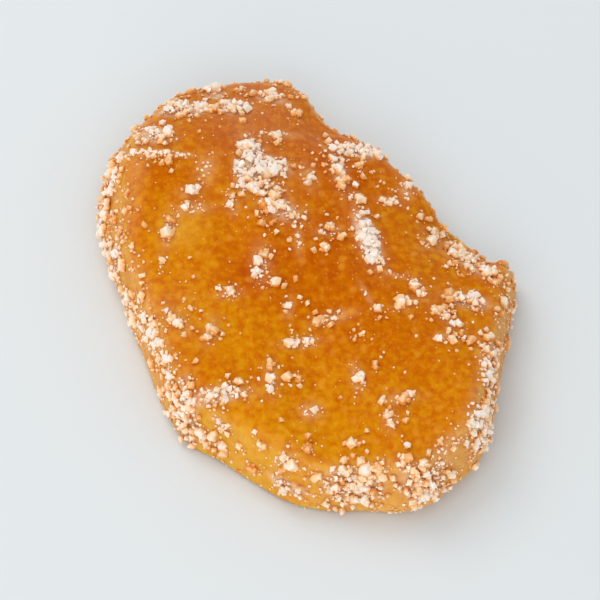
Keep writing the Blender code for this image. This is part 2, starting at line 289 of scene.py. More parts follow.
@dataclass(frozen=True)
class SliceForm:
    """The slice's form, as the solid has it: the cuts and faces that bound it, its curls, dents and
    waves. Lengths are millimetres, and ways are degrees round in plan."""

    core_height: float = 2.6
    edge_round: float = 0.5
    underside_depth: float = 3.0
    # Each cut: the way it faces, how far it is from the middle, and how far it leans in at the top
    side_cuts: tuple[tuple[float, float, float], ...] = (
        (15.0, 17.1, 10.0), (45.0, 13.7, 10.0), (78.0, 19.2, 12.0), (111.0, 20.5, 10.0),
        (142.0, 18.4, 14.0), (176.0, 13.4, 26.0), (199.0, 11.6, 12.0), (225.0, 12.6, 22.0),
        (239.0, 12.8, 20.0), (266.0, 15.6, 14.0), (315.0, 18.0, 14.0), (335.0, 17.9, 12.0),
        (350.0, 15.2, 12.0),
    )
    # Each face of the top: the way it slopes down, how steep it is, and how far it is from the middle
    top_faces: tuple[tuple[float, float, float], ...] = (
        (255.0, 5.0, 3.3),
        (100.0, 26.0, 9.2),
        (35.0, 12.0, 3.9),
        (205.0, 13.0, 4.9),
    )
    # Each corner that dried upwards: its way, where the lift starts, and the lift at the rim
    curls: tuple[tuple[float, float, float], ...] = (
        (140.0, 7.0, 1.0),
        (325.0, 9.0, 0.9),
        (25.0, 9.0, 0.6),
    )
    curl_rim: float = 17.0
    dents: tuple[Zone, ...] = (
        Zone(12.0, 6.6, 2.7, 1.4),
        Zone(14.6, 4.4, 1.5, 0.8),
        Zone(2.3, 16.3, 2.8, 1.1),
        Zone(-5.4, -12.0, 1.7, 0.4),
        Zone(0.8, -2.6, 4.2, 0.35),
    )
    # Each wave of the cut surface: its length and height
    waves: tuple[tuple[float, float], ...] = ((9.0, 0.42), (4.2, 0.20))
    fibre_way: float = 108.0
    fibre_stretch: float = 2.2
    flatness: float = 0.27
    halvings: int = 40
    slope_step: float = 0.01

    @cached_property
    def sides(self) -> tuple[np.ndarray, np.ndarray]:
        """The side cuts' normals, and their distances from the middle of the core."""
        normals = [heading(way, lean) for way, _, lean in self.side_cuts]
        return np.array(normals), np.array([distance for _, distance, _ in self.side_cuts])

    @cached_property
    def planes(self) -> tuple[np.ndarray, np.ndarray]:
        """The normals and distances of every flat that bounds the slice.

        Returns:
            The normals, one to a row, and the distances from the middle of the core.
        """
        tops = [heading(way, 90.0 - slope) for way, slope, _ in self.top_faces]
        normals = np.array([*self.sides[0], *tops, (0.0, 0.0, -1.0)])
        distances = [*self.sides[1], *(d for _, _, d in self.top_faces), self.underside_depth]
        return normals, np.array(distances)

    def outside(self, points: np.ndarray) -> np.ndarray:
        """How far each point is outside the slice with its edges rounded, about its core's middle.

        Args:
            points: The points, one to a row.

        Returns:
            The distance of each, below 0 inside.
        """
        normals, distances = self.planes
        past = (points @ normals.T - distances) / self.edge_round
        highest = past.max(axis=1, keepdims=True)
        return self.edge_round * (highest[:, 0] + np.log(np.exp(past - highest).sum(axis=1)))

    def skin(self, starts: np.ndarray, ways: np.ndarray) -> tuple[np.ndarray, np.ndarray]:
        """Where lines from inside the slice leave it.

        Args:
            starts: A point inside for each line, about the middle of the core.
            ways: Each line's unit direction.

        Returns:
            The points, and the outward normals there.
        """
        near = np.zeros(len(ways))
        far = np.full(len(ways), 2.0 * self.planes[1].max())
        for _ in range(self.halvings):
            middle = (near + far) / 2
            inside = self.outside(starts + ways * middle[:, None]) < 0
            near = np.where(inside, middle, near)
            far = np.where(inside, far, middle)
        points = starts + ways * near[:, None]
        step = self.slope_step
        slopes = [self.outside(points + step * a) - self.outside(points - step * a) for a in np.eye(3)]
        normals = np.stack(slopes, axis=1)
        return points, normals / np.linalg.norm(normals, axis=1, keepdims=True)

    def stretched(self, points: np.ndarray, stretch: float) -> np.ndarray:
        """The points squeezed along the fibres, so that noise read there is this much longer on them."""
        along = np.array(heading(self.fibre_way))
        return points - (points @ along * (1 - 1 / stretch))[:, None] * along

    def relief(self, points: np.ndarray) -> np.ndarray:
        """The height of the waves of the cut surface, less its dents.

        Args:
            points: The points, one to a row.

        Returns:
            The height at each.
        """
        along_fibres = self.stretched(points, self.fibre_stretch)
        waves = sum(height * noise_at(along_fibres / length) for length, height in self.waves)
        return waves - sum(dent.share(points) for dent in self.dents)

    def curl(self, points: np.ndarray) -> np.ndarray:
        """How far the corners that dried upwards lift each point.

        Args:
            points: The points, one to a row.

        Returns:
            The lift of each.
        """
        lift = np.zeros(len(points))
        for way, start, rise in self.curls:
            across = points @ np.array(heading(way))
            share = np.maximum(0.0, (across - start) / (self.curl_rim - start))
            lift += rise * share * share
        return lift

    def surface(self, starts: np.ndarray, ways: np.ndarray) -> tuple[np.ndarray, np.ndarray]:
        """Places on the finished surface, above the plane that the slice lies on, and the normals.

        Args:
            starts: A point inside for each line, about the middle of the core.
            ways: Each line's unit direction.

        Returns:
            The places, and the outward normals there.
        """
        points, normals = self.skin(starts, ways)
        points = points + normals * self.relief(points)[:, None]
        points[:, 2] += self.core_height + self.curl(points * (1.0, 1.0, 0.0))
        return points, normals

    def side_depth(self, places: np.ndarray) -> np.ndarray:
        """How far inside the nearest side cut each place is."""
        normals, distances = self.sides
        return -((places - (0.0, 0.0, self.core_height)) @ normals.T - distances).max(axis=1)


@dataclass(frozen=True)
class SugarMap:
    """How much sugar lies where. Lengths are millimetres."""

    form: SliceForm
    mounds: tuple[Mound, ...] = CLUMPS
    wall_mounds: tuple[WallMound, ...] = (*WALL_CLUMPS, WallMound(267.0, 1.8, 3.4, 1.2, white=0.6))
    small: tuple[Mound, ...] = SMALL_CLUMPS
    # Trails of fine sugar: along the ridge, down the left edge, and beside and below the large clumps
    trails: tuple[Mound, ...] = (
        Mound(-10.8, 10.9, 4.8, 0.35, 178.0, amount=3.0),
        Mound(-13.5, 11.4, 1.2, 0.5, 95.0, amount=2.0),
        Mound(-4.5, 9.4, 3.4, 0.9, 95.0, amount=1.7, white=1.0),
        Mound(-7.1, 9.6, 2.6, 1.3, 80.0, amount=1.1, white=0.15),
        Mound(-8.0, 6.2, 2.6, 1.0, 10.0, amount=1.1, white=0.2),
        Mound(-2.9, 1.5, 3.0, 1.3, 92.0, amount=1.1, white=0.35),
        Mound(0.6, 9.7, 2.6, 1.2, 100.0, amount=0.9, white=0.25),
        Mound(-0.1, 3.4, 2.4, 0.6, 92.0),
        Mound(-5.9, -11.2, 2.6, 0.7, 140.0),
        Mound(-14.3, 10.0, 1.8, 1.0, 60.0, amount=1.5, white=1.1),
        Mound(-15.2, 7.6, 2.0, 1.0, 75.0, amount=1.5, white=1.1),
        Mound(-14.2, 4.4, 4.4, 0.7, 109.0, amount=1.1, white=0.7),
        Mound(-12.7, 0.0, 3.6, 0.6, 112.0, white=0.5),
        Mound(-10.9, -3.9, 5.8, 0.7, 116.6, amount=1.2, white=0.8),
        Mound(5.0, -1.2, 2.2, 0.4, 115.0),
        Mound(-0.8, -2.2, 1.6, 0.6, 80.0),
        Mound(6.6, 1.0, 2.6, 0.5, 165.0),
        Mound(13.6, -7.6, 5.0, 0.8, 95.0, amount=1.2, white=0.6),
        Mound(13.0, -11.6, 2.2, 1.6, 60.0, amount=1.2, white=1.0),
        Mound(-1.6, 13.8, 3.0, 0.8, 10.0),
        Mound(8.1, 9.5, 2.4, 1.1, 80.0, amount=1.2, white=0.7),
        Mound(0.8, -11.0, 1.4, 1.2, 0.0, amount=1.4, white=0.9),
    )
    clear: tuple[Zone, ...] = (*CLEAR_SPOTS, Zone(-7.0, -15.0, 2.4, 0.8))
    # Where a thin haze of sugar dulls the open flesh
    haze: tuple[Zone, ...] = (
        Zone(-3.5, 15.8, 4.4, 0.16),
        Zone(-9.0, 4.6, 1.6, 0.08),
        Zone(-10.5, -2.5, 2.4, 0.1),
    )
    # The rim on each side: the way it faces, its share of grit, and its share of dust and frost
    rim_shares: tuple[tuple[float, float, float], ...] = (
        (0.0, 0.5, 0.5), (45.0, 0.35, 0.5), (90.0, 0.35, 0.5), (125.0, 0.4, 0.5),
        (155.0, 0.4, 0.5), (185.0, 0.25, 0.6), (215.0, 0.25, 0.8), (232.0, 0.1, 0.3),
        (262.0, 0.2, 0.25), (282.0, 0.35, 0.75), (318.0, 0.4, 0.95), (340.0, 0.45, 0.8),
    )
    rim_reach: float = 0.65
    # How far up the surface faces where the top ends, and where the wall begins
    wall_faces_up: tuple[float, float] = (0.86, 0.55)
    # Each size of uneven scatter: its wavelength, its middle, and its least and most
    patch_waves: tuple[tuple[float, float, float, float], ...] = (
        (2.9, 0.5, 0.05, 1.2),
        (1.1, 0.8, 0.1, 1.4),
    )

    def wall(self, normals: np.ndarray) -> np.ndarray:
        """1 on the side walls and the underside, 0 on the top."""
        return smooth_step(*self.wall_faces_up, normals[:, 2])

    def rim(self, places: np.ndarray, normals: np.ndarray, grit: bool) -> np.ndarray:
        """How sugared the walls and their upper edge are, by the side they are on.

        Args:
            places: The places.
            normals: The normals there.
            grit: Whether to say how much grit there is, and not how much dust and frost.

        Returns:
            The share at each place.
        """
        around, gritty, frosty = zip(*self.rim_shares)
        ways = np.degrees(np.arctan2(places[:, 1], places[:, 0])) % 360.0
        shares = np.interp(ways, around, gritty if grit else frosty, period=360.0)
        return shares * np.maximum(self.wall(normals), self.edge(places))

    def edge(self, places: np.ndarray) -> np.ndarray:
        """1 at the side cuts, falling to 0 inwards."""
        return np.exp(-((self.form.side_depth(places) / self.rim_reach) ** 2))

    def heap(self, places: np.ndarray) -> np.ndarray:
        """How deep in a clump each place is: 1 is its middle, and more where it is thick."""
        wall = nearness_to(self.wall_mounds, places) * self.edge(places)
        return np.maximum(nearness_to(self.mounds, places), wall)

    def whiteness(self, places: np.ndarray) -> np.ndarray:
        """How far the sugar at each place is from showing the flesh's painted glow: 1 or more is white."""
        top = whiteness_in((*self.mounds, *self.small, *self.trails), places)
        return np.maximum(top, whiteness_in(self.wall_mounds, places) * self.edge(places))

    def lone(self, places: np.ndarray) -> np.ndarray:
        """1 on the open top, 0 in the clumps and trails and on the rim."""
        near = np.maximum(self.heap(places), self.line(places))
        return 1.0 - np.clip(np.maximum(near, self.edge(places)), 0.0, 1.0)

    def line(self, places: np.ndarray) -> np.ndarray:
        """How near a small clump or a thin trail of sugar each place is."""
        return nearness_to((*self.small, *self.trails), places)

    def open_share(self, places: np.ndarray) -> np.ndarray:
        """1 less what the clear spots keep off."""
        return np.clip(1.0 - sum(zone.share(places) for zone in self.clear), 0.0, 1.0)

    def patches(self, places: np.ndarray) -> np.ndarray:
        """Uneven scatter: about half on average, near 0 in gaps.

        Args:
            places: The places, one to a row.

        Returns:
            The share at each.
        """
        shares = [
            np.clip(middle + noise_at(places / wave), least, most)
            for wave, middle, least, most in self.patch_waves
        ]
        return np.prod(shares, axis=0)


@dataclass(frozen=True)
class Stances:
    """Where a batch of grains sits: centres and sizes in millimetres, turns as 3 by 3 matrices, the
    surface's normals under them, and how much of the flesh's painted glow shows through each,
    from 0 to 1."""

    centres: np.ndarray
    sizes: np.ndarray
    turns: np.ndarray
    normals: np.ndarray
    flesh_glows: np.ndarray

    def kept(self, keep: np.ndarray) -> "Stances":
        """Only the grains where keep is true."""
        batch = (self.centres, self.sizes, self.turns, self.normals, self.flesh_glows)
        return Stances(*(values[keep] for values in batch))


@dataclass
class CrystalSpread:
    """Places the large crystals as the solid has them. Lengths are millimetres."""

    form: SliceForm
    seed: int = 14
    rim_count: int = 80
    top_groups: int = 26
    group_sizes: tuple[int, ...] = (1, 1, 2, 3)
    group_reach: float = 0.9
    lengths: tuple[float, float] = (0.52, 0.98)
    height_share: float = 0.72
    sunk_share: float = 0.22
    most_tipped: float = 34.0
    half_diagonal: float = 0.75
    floor_gap: float = 0.12
    lowest_on_rim: float = 0.9
    rim_faces_up: tuple[float, float] = (-0.2, 0.82)
    tries: int = 14
    clump_per_mm2: float = 1.4
    clump_lift: float = 0.35
    draw: random.Random = field(init=False)

    def __post_init__(self) -> None:
        """Starts the random draws."""
        self.draw = random.Random(self.seed)

    def random_way(self) -> np.ndarray:
        """A random unit direction, spread as the flesh's own points are.

        Returns:
            The direction.
        """
        z = self.draw.uniform(-1, 1)
        turn = self.draw.uniform(0, math.tau)
        flat = math.sqrt(1 - z * z)
        way = np.array((flat * math.cos(turn), flat * math.sin(turn), z * self.form.flatness))
        return way / np.linalg.norm(way)

    def drawn_lengths(self, count: int) -> list[float]:
        """The lengths of this many crystals, the largest first."""
        return sorted((self.draw.uniform(*self.lengths) for _ in range(count)), reverse=True)

    def stand(
        self, place: np.ndarray, normal: np.ndarray, length: float, lift: float = 0.0
    ) -> tuple[np.ndarray, float, np.ndarray, np.ndarray]:
        """A crystal on the surface, turned at random, with its foot sunk in.

        Args:
            place: Where it stands.
            normal: The surface's normal there.
            length: Its length.
            lift: How much of its length it is lifted, as on top of others.

        Returns:
            Its centre, its length, its turn, and the normal.
        """
        tipped = math.radians(self.most_tipped)
        turn = Matrix.Rotation(self.draw.uniform(0, math.tau), 3, "Z")
        tip = Matrix.Rotation(self.draw.uniform(-tipped, tipped), 3, "X")
        roll = Matrix.Rotation(self.draw.uniform(-tipped, tipped), 3, "Y")
        stand = Vector(normal).to_track_quat("Z", "Y").to_matrix() @ turn @ tip @ roll
        centre = place + normal * length * (self.height_share / 2 - self.sunk_share + lift)
        centre[2] = max(centre[2], self.floor_gap + length * self.half_diagonal)
        return centre, length, np.array(stand), normal

    def spread(self, count: int, wanted: Callable[[np.ndarray, np.ndarray], np.ndarray]) -> list:
        """Places spread evenly where wanted holds: each is the roomiest of a few.

        Args:
            count: How many.
            wanted: Says for places and normals which will do.

        Returns:
            (place, normal) of each.
        """
        found = []
        for _ in range(count):
            ways = np.array([self.random_way() for _ in range(self.tries)])
            places, normals = self.form.surface(np.zeros_like(ways), ways)
            fits = np.flatnonzero(wanted(places, normals))
            if len(fits):
                best = max(fits, key=lambda i: self.room_at(places[i], found))
                found.append((places[best], normals[best]))
        return found

    def room_at(self, place: np.ndarray, found: list) -> float:
        """How far the nearest place of those found is."""
        return min((float(np.linalg.norm(place - other)) for other, _ in found), default=math.inf)

    def on_rim(self, places: np.ndarray, normals: np.ndarray) -> np.ndarray:
        """Whether each place is on the side walls or their upper edge."""
        low, high = self.rim_faces_up
        return (places[:, 2] > self.lowest_on_rim) & (low < normals[:, 2]) & (normals[:, 2] < high)

    def on_top(self, places: np.ndarray, normals: np.ndarray) -> np.ndarray:
        """Whether each place is on the top face, off its clear spots.

        Args:
            places: The places, one to a row.
            normals: The normals there.

        Returns:
            True for each that is.
        """
        away = [np.hypot(places[:, 0] - spot.x, places[:, 1] - spot.y) for spot in CLEAR_SPOTS]
        off_spots = np.all([far > spot.radius for far, spot in zip(away, CLEAR_SPOTS)], axis=0)
        return (normals[:, 2] > self.rim_faces_up[1]) & off_spots

    def top_at(self, x: float, y: float) -> tuple[np.ndarray, np.ndarray]:
        """The place and normal on the surface straight above a place in plan."""
        places, normals = self.form.surface(np.array([[x, y, 0.0]]), np.array([[0.0, 0.0, 1.0]]))
        return places[0], normals[0]

    def wall_at(self, way: float, height: float) -> tuple[np.ndarray, np.ndarray]:
        """The place and normal on the side wall, this way round from the middle and about this high.

        Args:
            way: The way round, in degrees.
            height: How high the line to it starts.

        Returns:
            The place and the normal.
        """
        start = np.array([[0.0, 0.0, height - self.form.core_height]])
        places, normals = self.form.surface(start, np.array([heading(way)]))
        return places[0], normals[0]

    def rim(self) -> list:
        """The stances of the rim's crystals, one to a place, the largest first."""
        places = self.spread(self.rim_count, self.on_rim)
        return [self.stand(*spot, size) for spot, size in zip(places, self.drawn_lengths(len(places)))]

    def top(self) -> list:
        """The stances of the top's crystals, which lie one to three together.

        Returns:
            What stand gives, for each.
        """
        found = []
        for place, _ in self.spread(self.top_groups, self.on_top):
            for size in self.drawn_lengths(self.draw.choice(self.group_sizes)):
                x = place[0] + self.draw.uniform(-self.group_reach, self.group_reach)
                y = place[1] + self.draw.uniform(-self.group_reach, self.group_reach)
                found.append(self.stand(*self.top_at(x, y), size))
        return found

    def scatter(self, length: float, width: float) -> list[tuple[float, float, float, float]]:
        """(size, along, across, lift) of the crystals of a clump of this length and width.

        Args:
            length: The clump's length.
            width: Its width.

        Returns:
            Those of each crystal, the largest first.
        """
        found = []
        for size in self.drawn_lengths(round(length * width * math.pi / 4 * self.clump_per_mm2)):
            reach = math.sqrt(self.draw.random())
            angle = self.draw.uniform(0, math.tau)
            along = reach * math.cos(angle) * length / 2
            across = reach * math.sin(angle) * width / 2
            found.append((size, along, across, self.draw.uniform(0.0, self.clump_lift) * (1 - reach)))
        return found

    def top_clumps(self) -> list:
        """The stances of the crystals in the clumps on the top, which lie partly on each other.

        Returns:
            What stand gives, for each.
        """
        found = []
        for mound in (*CLUMPS, *SMALL_CLUMPS):
            turn = Matrix.Rotation(math.radians(mound.way), 2)
            for size, along, across, lift in self.scatter(mound.length, mound.width):
                off = turn @ Vector((along, across))
                found.append(self.stand(*self.top_at(mound.x + off.x, mound.y + off.y), size, lift))
        return found

    def wall_clumps(self) -> list:
        """The stances of the crystals in the clumps on the side wall.

        Returns:
            What stand gives, for each.
        """
        found = []
        for mound in WALL_CLUMPS:
            middle, _ = self.wall_at(mound.way, mound.height)
            for size, along, rise, lift in self.scatter(mound.length, mound.drop):
                way = mound.way + math.degrees(along / math.hypot(middle[0], middle[1]))
                found.append(self.stand(*self.wall_at(way, mound.height + rise), size, lift))
        return found

    def stances(self) -> Stances:
        """Every large crystal, in the order in which the solid draws them."""
        found = [*self.top_clumps(), *self.wall_clumps(), *self.rim(), *self.top()]
        return Stances(*(np.array(values) for values in zip(*found)), np.zeros(len(found)))


@dataclass(frozen=True)
class GrainShape:
    """One kind of grain of unit length, as sugar grows: a block with one sloping end."""

    sides: tuple[float, float, float] = (1.0, 0.86, 0.72)
    end_slope: float = 0.16
    edge_wear: float = 0.0
    # Each chip: the way and climb that it faces, and how far out it cuts
    chips: tuple[tuple[float, float, float], ...] = ()

    def triangles(self) -> tuple[np.ndarray, np.ndarray]:
        """The grain's vertices and triangles.

        Returns:
            The vertices, one to a row, and the three corners of each triangle.
        """
        bm = bmesh.new()
        bmesh.ops.create_cube(bm, size=1.0)
        bmesh.ops.scale(bm, vec=self.sides, verts=bm.verts)
        for vert in bm.verts:
            if vert.co.x > 0:
                vert.co.x -= self.end_slope * (vert.co.z / self.sides[2] + 0.5)
        for way, climb, distance in self.chips:
            self.chip(bm, Vector(heading(way, climb)), distance)
        if self.edge_wear:
            bmesh.ops.bevel(
                bm,
                geom=bm.edges,
                offset=self.edge_wear,
                segments=1,
                profile=0.5,
                affect="EDGES",
                clamp_overlap=True,
                material=-1,
            )
        bmesh.ops.triangulate(bm, faces=bm.faces)
        bmesh.ops.recalc_face_normals(bm, faces=bm.faces)
        verts = np.array([v.co for v in bm.verts])
        faces = np.array([[v.index for v in f.verts] for f in bm.faces])
        bm.free()
        return verts, faces

    def chip(self, bm: bmesh.types.BMesh, way: Vector, distance: float) -> None:
        """Cuts off what lies past a plane and closes the cut.

        Args:
            bm: The grain.
            way: The plane's unit normal.
            distance: How far out the plane is.
        """
        geometry = [*bm.verts, *bm.edges, *bm.faces]
        cut = bmesh.ops.bisect_plane(
            bm, geom=geometry, plane_co=way * distance, plane_no=way, clear_outer=True
        )
        rim = [e for e in cut["geom_cut"] if isinstance(e, bmesh.types.BMEdge)]
        bmesh.ops.edgeloop_fill(bm, edges=rim)


@dataclass(frozen=True)
class Twin:
    """A few grains grown together in the room of one grain of unit length."""

    # Each grain: its form, where its middle is, its size, and its turn about the up axis in degrees
    grains: tuple[tuple[GrainShape, tuple[float, float, float], float, float], ...]

    def triangles(self) -> tuple[np.ndarray, np.ndarray]:
        """The twin's vertices and triangles.

        Returns:
            The vertices, one to a row, and the three corners of each triangle.
        """
        verts, faces, count = [], [], 0
        for shape, middle, size, turn in self.grains:
            points, triangles = shape.triangles()
            turned = points @ np.array(Matrix.Rotation(math.radians(turn), 3, "Z")).T
            verts.append(turned * size + middle)
            faces.append(triangles + count)
            count += len(points)
        return np.concatenate(verts), np.concatenate(faces)


class SugarKind(Enum):
    """The three kinds of sugar grain, each one piece."""

    CRYSTALS = "sugar_crystals"
    GRIT = "sugar_grit"
    DUST = "sugar_dust"


@dataclass(frozen=True)
class GrainKind:
    """How one kind of thrown grain is sized, shaped and shared out. Lengths are millimetres."""

    kind: SugarKind
    count: int
    sizes: tuple[float, float]
    shapes: tuple[GrainShape, ...]
    top_share: float
    rim_share: float
    heap_share: float
    line_share: float
    company_share: float
    under_share: float
    heap_height: float
    seed: int
    small_bias: float = 1.8
    sunk_share: float = 0.18


BLUNT = GrainShape(edge_wear=0.08, chips=((38.0, 32.0, 0.42), (250.0, 25.0, 0.44)))
SLOPED = GrainShape(edge_wear=0.06, end_slope=0.26, chips=((160.0, 30.0, 0.4), (300.0, 40.0, 0.4)))
FLAT = GrainShape(sides=(1.0, 0.8, 0.6), edge_wear=0.07, chips=((120.0, 35.0, 0.38),))
CRYSTAL_SHAPES = tuple(
    Twin(grains)
    for grains in (
        (
            (BLUNT, (-0.12, 0.05, -0.03), 0.78, 0.0),
            (SLOPED, (0.25, -0.12, 0.08), 0.56, 40.0),
            (FLAT, (0.1, 0.24, -0.1), 0.48, 100.0),
        ),
        (
            (SLOPED, (0.08, 0.02, 0.0), 0.84, 15.0),
            (FLAT, (-0.28, 0.1, 0.1), 0.5, 70.0),
        ),
        (
            (FLAT, (-0.14, -0.1, 0.05), 0.72, 200.0),
            (BLUNT, (0.22, 0.14, -0.04), 0.62, 250.0),
            (SLOPED, (0.2, -0.25, -0.1), 0.42, 120.0),
        ),
        (
            (BLUNT, (0.0, 0.0, 0.0), 0.9, 320.0),
            (SLOPED, (-0.26, -0.2, 0.12), 0.42, 20.0),
        ),
        (
            (SLOPED, (-0.16, 0.14, 0.0), 0.66, 140.0),
            (SLOPED, (0.2, -0.06, 0.03), 0.64, 260.0),
            (FLAT, (-0.1, -0.26, -0.08), 0.46, 10.0),
        ),
    )
)
GRIT_SHAPES = (
    GrainShape(sides=(1.0, 0.8, 0.66), chips=((40.0, 40.0, 0.38), (210.0, 30.0, 0.4))),
    GrainShape(sides=(1.0, 0.7, 0.7), end_slope=0.28, chips=((200.0, 35.0, 0.36),)),
    GrainShape(sides=(0.9, 0.86, 0.6), end_slope=0.05, chips=((60.0, 40.0, 0.36), (250.0, -20.0, 0.38))),
    GrainShape(sides=(1.0, 0.62, 0.56), end_slope=0.2, chips=((120.0, -35.0, 0.3), (330.0, 30.0, 0.36))),
)
DUST_SHAPES = (
    GrainShape(sides=(1.0, 0.8, 0.7), end_slope=0.3),
    GrainShape(sides=(0.9, 0.9, 0.62), end_slope=0.14),
)
GRIT = GrainKind(
    kind=SugarKind.GRIT,
    count=2100,
    sizes=(0.24, 0.6),
    shapes=GRIT_SHAPES,
    top_share=0.16,
    rim_share=0.66,
    heap_share=5.6,
    line_share=2.0,
    company_share=0.6,
    under_share=0.3,
    heap_height=0.5,
    seed=21,
)
DUST = GrainKind(
    kind=SugarKind.DUST,
    count=7600,
    sizes=(0.1, 0.26),
    shapes=DUST_SHAPES,
    top_share=0.13,
    rim_share=1.35,
    heap_share=2.4,
    line_share=1.3,
    company_share=0.5,
    under_share=0.6,
    heap_height=0.3,
    seed=22,
)


# The values that soft noise mostly keeps between, and how strong its finer layers are
NOISE_RANGE = (0.3, 0.7)
NOISE_ROUGHNESS = 0.55


class Wires:
    """Adds nodes to a node tree and joins them."""

    def __init__(self, tree: bpy.types.NodeTree) -> None:
        """Starts on a tree."""
        self.tree = tree

    def add(self, kind: str, inputs: dict | None = None, **settings: object) -> bpy.types.Node:
        """Adds a node.

        Args:
            kind: Its type.
            inputs: Values or sockets for its inputs, by name or place.
            settings: Its own settings.

        Returns:
            The node.
        """
        node = self.tree.nodes.new(kind)
        for name, value in settings.items():
            setattr(node, name, value)
        for name, value in (inputs or {}).items():
            self.feed(node.inputs[name], value)
        return node

    def feed(self, socket: bpy.types.NodeSocket, value: object) -> None:
        """Joins a socket to another, or gives it a value.

        Args:
            socket: The socket to feed.
            value: The other socket, or the value.
        """
        if isinstance(value, bpy.types.NodeSocket):
            self.tree.links.new(value, socket)
        else:
            socket.default_value = value

    def maths(self, operation: str, *values: object) -> bpy.types.NodeSocket:
        """The result of a Math node."""
        return self.add("ShaderNodeMath", dict(enumerate(values)), operation=operation).outputs[0]

    def blend(self, share: object, first: object, second: object) -> bpy.types.NodeSocket:
        """Two colours mixed."""
        inputs = {0: share, 6: first, 7: second}
        return self.add("ShaderNodeMix", inputs, data_type="RGBA").outputs[2]

    def remap(
        self, value: object, source: tuple[float, float], target: tuple[float, float] = (0.0, 1.0)
    ) -> bpy.types.NodeSocket:
        """A value moved from one range to another, and held to it."""
        inputs = dict(enumerate((value, *source, *target)))
        return self.add("ShaderNodeMapRange", inputs, clamp=True).outputs[0]

    def sway(self, cloud: object, most: float) -> bpy.types.NodeSocket:
        """Soft noise as a change by up to this much either way."""
        return self.remap(cloud, NOISE_RANGE, (-most, most))

    def ramp(self, value: object, *stops: tuple[float, tuple]) -> bpy.types.NodeSocket:
        """The colour at a value, between stops that each give a value and its colour.

        Args:
            value: The value.
            stops: The stops, the lowest first.

        Returns:
            The colour.
        """
        node = self.add("ShaderNodeValToRGB", {0: value})
        first, last = node.color_ramp.elements
        first.position, first.color = stops[0]
        last.position, last.color = stops[-1]
        for position, colour in stops[1:-1]:
            node.color_ramp.elements.new(position).color = colour
        return node.outputs[0]

    def noise(
        self, place: bpy.types.NodeSocket, scale: object, detail: float = 3.0
    ) -> bpy.types.NodeSocket:
        """Noise at a place, from 0 to 1."""
        inputs = {"Vector": place, "Scale": scale, "Detail": detail, "Roughness": NOISE_ROUGHNESS}
        return self.add("ShaderNodeTexNoise", inputs).outputs["Fac"]

    def dress(
        self,
        shader: bpy.types.Node,
        colour: bpy.types.NodeSocket,
        rough: bpy.types.NodeSocket,
        height: bpy.types.NodeSocket,
        strength: float,
        depth: float,
    ) -> None:
        """Feeds a shader's colour and roughness, and its relief by a Bump node.

        Args:
            shader: The shader.
            colour: The colour.
            rough: The roughness.
            height: The height of the relief, from 0 to 1.
            strength: How strongly the relief shows.
            depth: How deep it is, in metres.
        """
        relief = {"Strength": strength, "Distance": depth, "Height": height}
        bump = self.add("ShaderNodeBump", relief).outputs[0]
        for name, socket in (("Base Color", colour), ("Roughness", rough), ("Normal", bump)):
            self.feed(shader.inputs[name], socket)

    def place(self) -> bpy.types.NodeSocket:
        """The place on the object, in metres."""
        return self.add("ShaderNodeTexCoord").outputs["Object"]

    def attribute(self, name: str) -> bpy.types.NodeSocket:
        """A number that the mesh holds."""
        return self.add("ShaderNodeAttribute", attribute_name=name).outputs["Fac"]


class SharedEffect:
    """An effect that several finishes use, as a node group that is built once."""

    name = ""
    inputs: tuple[tuple[str, float], ...] = ()
    outputs: tuple[tuple[str, str], ...] = ()

    def tree(self) -> bpy.types.NodeTree:
        """The group, built at its first use.

        Returns:
            The group.
        """
        made = bpy.data.node_groups.get(self.name)
        if made:
            return made
        made = bpy.data.node_groups.new(self.name, "ShaderNodeTree")
        for name, value in self.inputs:
            socket = made.interface.new_socket(name, in_out="INPUT", socket_type="NodeSocketFloat")
            socket.default_value = value
        for name, kind in self.outputs:
            made.interface.new_socket(name, in_out="OUTPUT", socket_type=kind)
        wires = Wires(made)
        given = wires.add("NodeGroupInput")
        result = wires.add("NodeGroupOutput")
        self.wire(wires, given.outputs, result.inputs)
        return made

    def wire(self, wires: Wires, given: Sequence, result: Sequence) -> None:
        """Fills the group."""
        raise NotImplementedError

    def put(self, wires: Wires, **values: object) -> bpy.types.Node:
        """Places the group in a material, with its own values for the inputs.

        Args:
            wires: The material's wires.
            values: A value or socket for each input, by name.

        Returns:
            The group's node.
        """
        node = wires.add("ShaderNodeGroup", node_tree=self.tree())
        for name, value in values.items():
            wires.feed(node.inputs[name.replace("_", " ").capitalize()], value)
        return node


class Speckle(SharedEffect):
    """Sugar too fine to be grains: scattered specks, as a mask."""

    name = "sugar_speckle"
    # How far from a cell's middle its speck starts, and where it is full
    fade = (0.55, 0.2)
    inputs = (("Scale", 3000.0), ("Cover", 0.3))
    outputs = (("Mask", "NodeSocketFloat"),)

    def wire(self, wires: Wires, given: Sequence, result: Sequence) -> None:
        """One speck to a cell, in the share of the cells that cover names.

        Args:
            wires: The group's wires.
            given: The group's inputs.
            result: The group's outputs, to be fed.
        """
        cells = wires.add("ShaderNodeTexVoronoi", {"Vector": wires.place(), "Scale": given["Scale"]})
        luck = wires.add("ShaderNodeSeparateColor", {0: cells.outputs["Color"]}).outputs[0]
        chosen = wires.maths("LESS_THAN", luck, given["Cover"])
        speck = wires.remap(cells.outputs["Distance"], self.fade)
        wires.feed(result["Mask"], wires.maths("MULTIPLY", speck, chosen))


